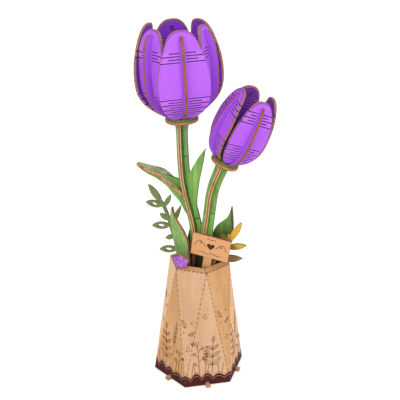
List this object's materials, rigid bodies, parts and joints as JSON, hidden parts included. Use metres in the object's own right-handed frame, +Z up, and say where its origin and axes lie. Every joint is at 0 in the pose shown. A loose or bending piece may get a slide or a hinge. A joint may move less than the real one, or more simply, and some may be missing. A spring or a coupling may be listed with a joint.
{
  "type": "wooden tulip ornament",
  "caption": "Wooden tulips with slotted plywood petals, ribs and leaves on jointed stems, standing in a tall faceted plywood vase with a small plain sign.",
  "frame": {"origin": "middle of the base plate's underside, on the surface that the vase stands on", "axes": "+Z up along the vase, -Y towards the front, where the sign is, +X to the right, towards the smaller flower"},
  "size_m": [0.1336, 0.0928, 0.3514],
  "materials": {
    "printed_vase_ply": "printed plywood veneer, satin, laser-cut edges",
    "bare_ply": "bare basswood plywood, laser-cut edges",
    "sign_ply": "bare basswood plywood with engraved marks",
    "lilac_ply": "printed plywood, mottled lilac, burnt edges",
    "purple_ply": "printed plywood, purple faces, burnt tan edges",
    "disc_ply": "bare plywood, burnt edges",
    "olive_ply": "printed plywood, olive faces, burnt edges",
    "ochre_ply": "printed plywood, yellow to olive-brown faces, burnt edges",
    "green_ply": "printed plywood, green faces, burnt tan edges"
  },
  "bodies": {
    "root": {"base_plate": "bare_ply", "big_disc_lower": "disc_ply", "big_disc_upper": "disc_ply", "big_petal_back": "purple_ply", "big_petal_front": "purple_ply", "big_petal_left": "purple_ply", "big_petal_left_back": "purple_ply", "big_petal_right": "purple_ply", "big_petal_right_back": "purple_ply", "big_rib_back": "purple_ply", "big_rib_front": "purple_ply", "big_rib_left": "purple_ply", "big_rib_left_back": "purple_ply", "big_rib_right": "purple_ply", "big_rib_right_back": "purple_ply", "big_stem_middle": "green_ply", "big_stem_top": "green_ply", "big_strip_back_lower": "green_ply", "big_strip_back_upper": "green_ply", "big_strip_front_lower": "green_ply", "big_strip_front_upper": "green_ply", "inner_web_left": "bare_ply", "inner_web_right": "bare_ply", "leaf_arched_blade": "green_ply", "leaf_back": "green_ply", "leaf_front": "green_ply", "leaf_right": "green_ply", "rim_blossom": "lilac_ply", "root_plate": "green_ply", "sign_board": "sign_ply", "sign_stake": "sign_ply", "small_disc_lower": "disc_ply", "small_disc_upper": "disc_ply", "small_petal_back": "purple_ply", "small_petal_front": "purple_ply", "small_petal_left": "purple_ply", "small_petal_right": "purple_ply", "small_rib_back": "purple_ply", "small_rib_front": "purple_ply", "small_rib_left": "purple_ply", "small_rib_right": "purple_ply", "small_stem_top": "green_ply", "small_strip_back": "green_ply", "small_strip_front": "green_ply", "stem_deck": "bare_ply", "twig_left": "olive_ply", "twig_right": "ochre_ply", "vase_skin": "printed_vase_ply"}
  },
  "joints": []
}
